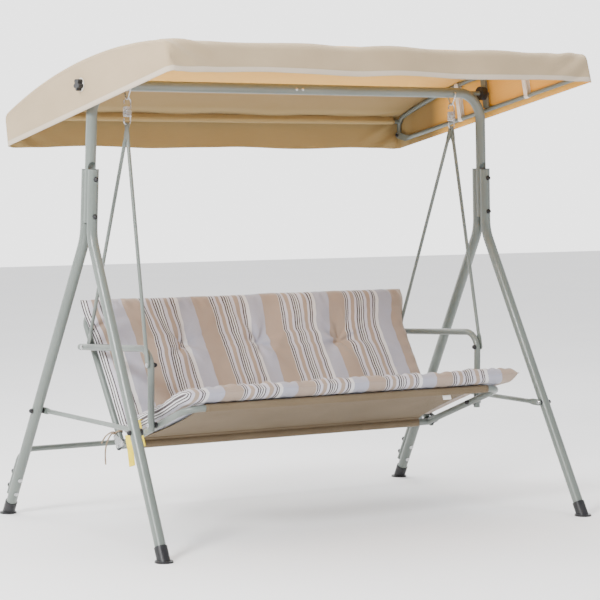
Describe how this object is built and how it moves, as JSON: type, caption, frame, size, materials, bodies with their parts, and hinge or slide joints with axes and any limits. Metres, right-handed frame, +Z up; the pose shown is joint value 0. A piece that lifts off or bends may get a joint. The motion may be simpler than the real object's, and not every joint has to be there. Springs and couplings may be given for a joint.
{
  "type": "canopy swing bench",
  "caption": "Garden swing bench: a tubular A-frame stand carries a padded seat on rods and springs under a tilting fabric canopy.",
  "frame": {"origin": "on the floor, in the middle of the stand", "axes": "+X to the right along the bench, +Y to the back, +Z up; a person sits facing -Y"},
  "size_m": [1.692, 1.132, 1.5633],
  "materials": {
    "frame_paint": "satin grey-green paint",
    "black_plastic": "matte moulded plastic",
    "zinc_steel": "bright zinc plated steel",
    "pale_plastic": "pale moulded plastic",
    "canopy_cloth": "plain woven beige cloth",
    "sling_cloth": "brown open-weave mesh cloth",
    "cushion_cloth": "striped printed cloth in lavender grey, tan and dark brown",
    "white_cloth": "white woven tape",
    "tag_card": "blank yellow film"
  },
  "bodies": {
    "frame": {"leg_front_left": "frame_paint", "leg_front_right": "frame_paint", "leg_rear_left": "frame_paint", "leg_rear_right": "frame_paint", "foot_cap_front_left": "black_plastic", "foot_cap_front_right": "black_plastic", "foot_cap_rear_left": "black_plastic", "foot_cap_rear_right": "black_plastic", "leg_plugs": "black_plastic", "beam_left": "frame_paint", "beam_right": "frame_paint", "beam_sleeve": "zinc_steel", "beam_hooks": "zinc_steel", "beam_joint_bolts": "zinc_steel", "leg_top_bolts": "zinc_steel", "side_brace_left": "frame_paint", "side_brace_right": "frame_paint", "brace_spacers": "black_plastic", "brace_bolts": "zinc_steel", "rear_crossbar": "frame_paint", "crossbar_bolts": "zinc_steel", "stand_cap_nuts": "black_plastic"},
    "hangers": {"springs": "zinc_steel"},
    "seat": {"rod_front_left": "frame_paint", "rod_front_right": "frame_paint", "rod_rear_left": "frame_paint", "rod_rear_right": "frame_paint", "armrest_left": "frame_paint", "armrest_right": "frame_paint", "arm_spacers": "black_plastic", "arm_bolts": "zinc_steel", "seat_cap_nuts": "black_plastic", "seat_frame": "frame_paint", "rear_rail": "frame_paint", "rail_plugs": "black_plastic", "back_frame": "frame_paint", "hinge_plates": "zinc_steel", "hinge_rivets": "zinc_steel", "seat_sling": "sling_cloth", "back_sling": "sling_cloth", "sling_label": "white_cloth", "cushion": "cushion_cloth", "tie_knot": "cushion_cloth", "tie_long_end": "cushion_cloth", "tie_short_end": "cushion_cloth", "hang_tags": "tag_card"},
    "canopy": {"canopy_arch_left": "frame_paint", "canopy_arch_right": "frame_paint", "canopy_side_rails": "frame_paint", "canopy_cross_rails": "frame_paint", "canopy_bolts": "zinc_steel", "canopy_cap_nuts": "black_plastic", "canopy_cover": "canopy_cloth", "canopy_straps": "white_cloth", "cover_label": "white_cloth", "canopy_bushes": "black_plastic", "knob_washers": "pale_plastic"},
    "left_knob": {"knob_left": "black_plastic"},
    "right_knob": {"knob_right": "black_plastic"}
  },
  "joints": [
    {"name": "seat_swing", "type": "hinge", "parent": "frame", "child": "hangers", "pos_m": [0, 0, 1.4], "axis": [1, 0, 0], "range_deg": [-20, 20]},
    {"name": "spring_bounce", "type": "slide", "parent": "hangers", "child": "seat", "axis": [0, 0, 1], "range_m": [-0.02, 0], "stiffness_N_per_m": 60000, "springref_m": 0.008, "deforming": ["springs"]},
    {"name": "canopy_tilt", "type": "hinge", "parent": "frame", "child": "canopy", "pos_m": [0, 0, 1.44], "axis": [1, 0, 0], "range_deg": [-30, 45]},
    {"name": "left_knob_turn", "type": "hinge", "parent": "frame", "child": "left_knob", "pos_m": [-0.82, 0, 1.44], "axis": [1, 0, 0], "continuous": true},
    {"name": "right_knob_turn", "type": "hinge", "parent": "frame", "child": "right_knob", "pos_m": [0.82, 0, 1.44], "axis": [1, 0, 0], "continuous": true}
  ]
}
